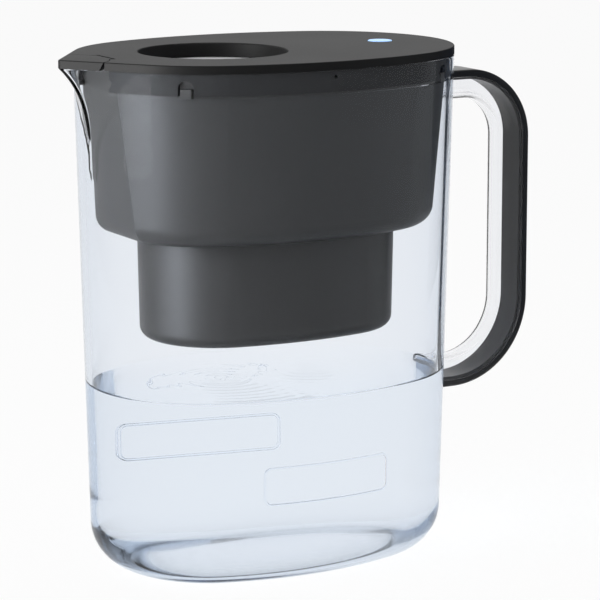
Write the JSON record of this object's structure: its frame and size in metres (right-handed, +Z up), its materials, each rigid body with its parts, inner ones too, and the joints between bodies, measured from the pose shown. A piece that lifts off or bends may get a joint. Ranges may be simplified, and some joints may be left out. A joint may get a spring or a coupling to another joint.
{
  "type": "water filter pitcher",
  "caption": "Clear oval water filter pitcher with a pouring spout, loop handle, smoked hopper with drop-in filter cartridge, and flat lid with hinged fill and spout flaps and lit indicator.",
  "frame": {"origin": "on the table, under the middle of the jug's oval", "axes": "+Z up, +X towards the handle, -X towards the spout"},
  "size_m": [0.2726, 0.147, 0.2683],
  "materials": {
    "clear_plastic": "clear moulded plastic, polished",
    "grip_plastic": "satin dark grey plastic",
    "smoked_plastic": "satin smoke-black plastic",
    "lid_plastic": "satin black plastic",
    "pale_plastic": "pale satin plastic",
    "black_plastic": "black plastic",
    "carbon": "pressed carbon",
    "seal_rubber": "soft silicone",
    "steel": "bright stainless steel",
    "board": "green solder mask",
    "contact_metal": "plated spring contact",
    "cell_metal": "nickel-plated steel",
    "led_lens": "clear lens",
    "lit_lens": "frosted lens, lit blue"
  },
  "bodies": {
    "jug": {"jug": "clear_plastic", "handle_channel": "clear_plastic", "handle_cover": "grip_plastic"},
    "hopper": {"hopper": "smoked_plastic"},
    "cartridge": {"cartridge_housing": "pale_plastic", "cartridge_cap": "pale_plastic", "cartridge_seal": "seal_rubber", "carbon_blocks": "carbon", "block_end_caps": "pale_plastic", "outlet_screens": "steel"},
    "lid": {"lid": "lid_plastic", "spout_hinge_pin": "steel", "fill_hinge_pin": "steel", "fill_spring": "steel", "indicator_case": "lid_plastic", "case_seal": "seal_rubber", "case_screws": "steel", "circuit_board": "board", "tact_switch": "black_plastic", "status_led": "led_lens", "cell_contacts": "contact_metal", "coin_cell": "cell_metal", "battery_door": "black_plastic", "door_seal": "seal_rubber"},
    "spout_flap": {"spout_flap": "lid_plastic"},
    "fill_flap": {"fill_flap": "pale_plastic"},
    "indicator_button": {"indicator_button": "lit_lens"}
  },
  "joints": [
    {"name": "hopper_lift", "type": "slide", "parent": "jug", "child": "hopper", "axis": [0, 0, 1], "range_m": [0, 0.15]},
    {"name": "lid_lift", "type": "slide", "parent": "hopper", "child": "lid", "axis": [0, 0, 1], "range_m": [0, 0.3]},
    {"name": "cartridge_lift", "type": "slide", "parent": "hopper", "child": "cartridge", "axis": [0, 0, 1], "range_m": [0, 0.15]},
    {"name": "spout_flap_hinge", "type": "hinge", "parent": "lid", "child": "spout_flap", "pos_m": [-0.092, 0, 0.26585], "axis": [0, 1, 0], "range_deg": [0, 55]},
    {"name": "fill_flap_hinge", "type": "hinge", "parent": "lid", "child": "fill_flap", "pos_m": [0.0133, 0, 0.2596], "axis": [0, -1, 0], "range_deg": [0, 50], "stiffness_Nm_per_rad": 0.01, "springref_deg": -57.3, "deforming": ["fill_spring"]},
    {"name": "indicator_press", "type": "slide", "parent": "lid", "child": "indicator_button", "axis": [0, 0, -1], "range_m": [0, 0.0007], "stiffness_N_per_m": 800}
  ],
  "couplings": [
    {"joint": "cartridge_lift", "follows": "lid_lift", "ratio": 0.5}
  ]
}
